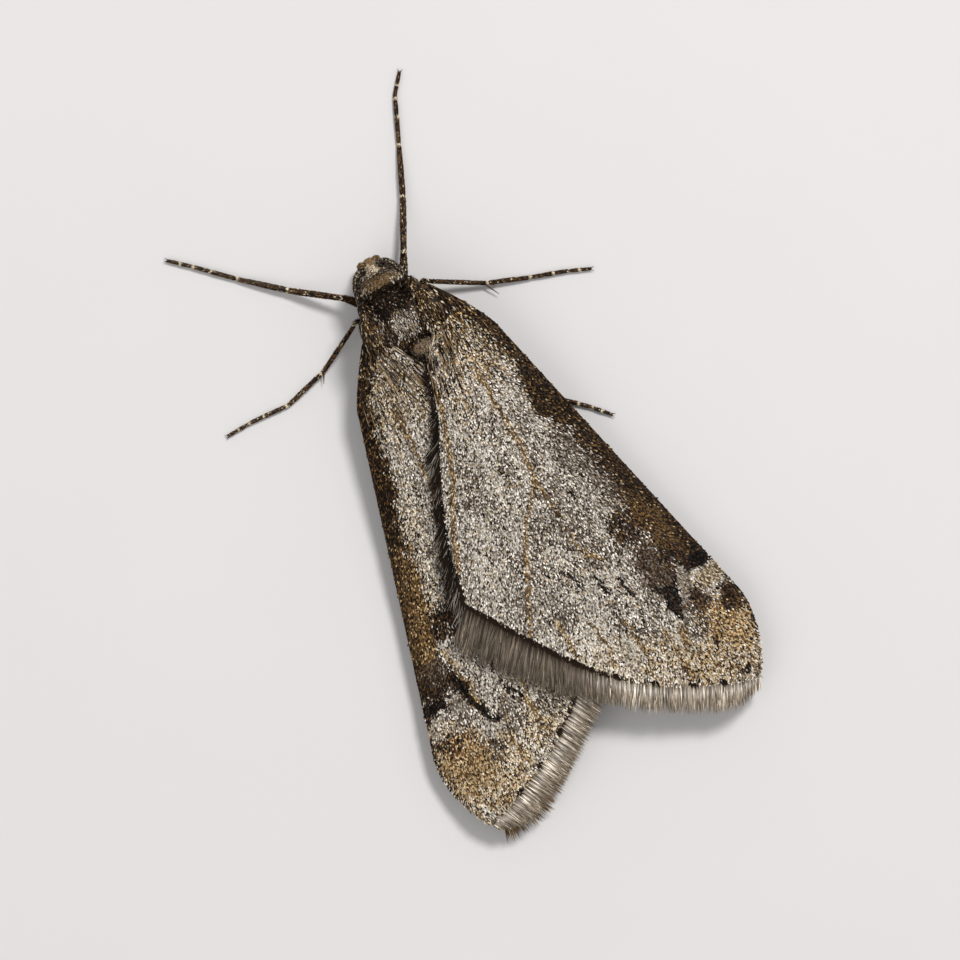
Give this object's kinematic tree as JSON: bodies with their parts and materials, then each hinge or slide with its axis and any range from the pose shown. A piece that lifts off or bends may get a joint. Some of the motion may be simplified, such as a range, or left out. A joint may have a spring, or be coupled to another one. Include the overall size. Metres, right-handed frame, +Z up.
{
  "type": "moth",
  "caption": "Resting moth with flat, overlapping patterned wings, a furry thorax, swept-back feelers and spread legs.",
  "frame": {"origin": "middle of the bounding box's underside, on the surface that the moth rests on", "axes": "+Y from head to wing tips, +Z up from the surface that it rests on, +X toward the moth's left"},
  "size_m": [0.013, 0.0242, 0.003],
  "materials": {
    "head": "matte, hairy scales",
    "eye": "glossy, finely faceted",
    "palp": "matte, hairy",
    "feeler": "matte, pale-ringed",
    "collar": "matte, olive-tan scales",
    "thorax": "matte, long scales",
    "tegula": "matte, long scales",
    "abdomen": "matte, downy scales",
    "forewing": "matte scales with a silvery glint, patterned",
    "hindwing": "matte, pale scales",
    "leg": "matte, dark brown with pale joints"
  },
  "bodies": {
    "root": {"abdomen": "abdomen", "antenna_left": "feeler", "antenna_right": "feeler", "collar": "collar", "eye_left": "eye", "eye_right": "eye", "foreleg_left_coxa": "leg", "foreleg_left_femur": "leg", "foreleg_left_tarsus": "leg", "foreleg_left_tibia": "leg", "foreleg_right_coxa": "leg", "foreleg_right_femur": "leg", "foreleg_right_tarsus": "leg", "foreleg_right_tibia": "leg", "forewing_left": "forewing", "forewing_right": "forewing", "head": "head", "hindleg_left_coxa": "leg", "hindleg_left_femur": "leg", "hindleg_left_tarsus": "leg", "hindleg_left_tibia": "leg", "hindleg_right_coxa": "leg", "hindleg_right_femur": "leg", "hindleg_right_tarsus": "leg", "hindleg_right_tibia": "leg", "hindwing_left": "hindwing", "hindwing_right": "hindwing", "midleg_left_coxa": "leg", "midleg_left_femur": "leg", "midleg_left_tarsus": "leg", "midleg_left_tibia": "leg", "midleg_right_coxa": "leg", "midleg_right_femur": "leg", "midleg_right_tarsus": "leg", "midleg_right_tibia": "leg", "palp_left": "palp", "palp_right": "palp", "tegula_left": "tegula", "tegula_right": "tegula", "thorax": "thorax"}
  },
  "joints": []
}
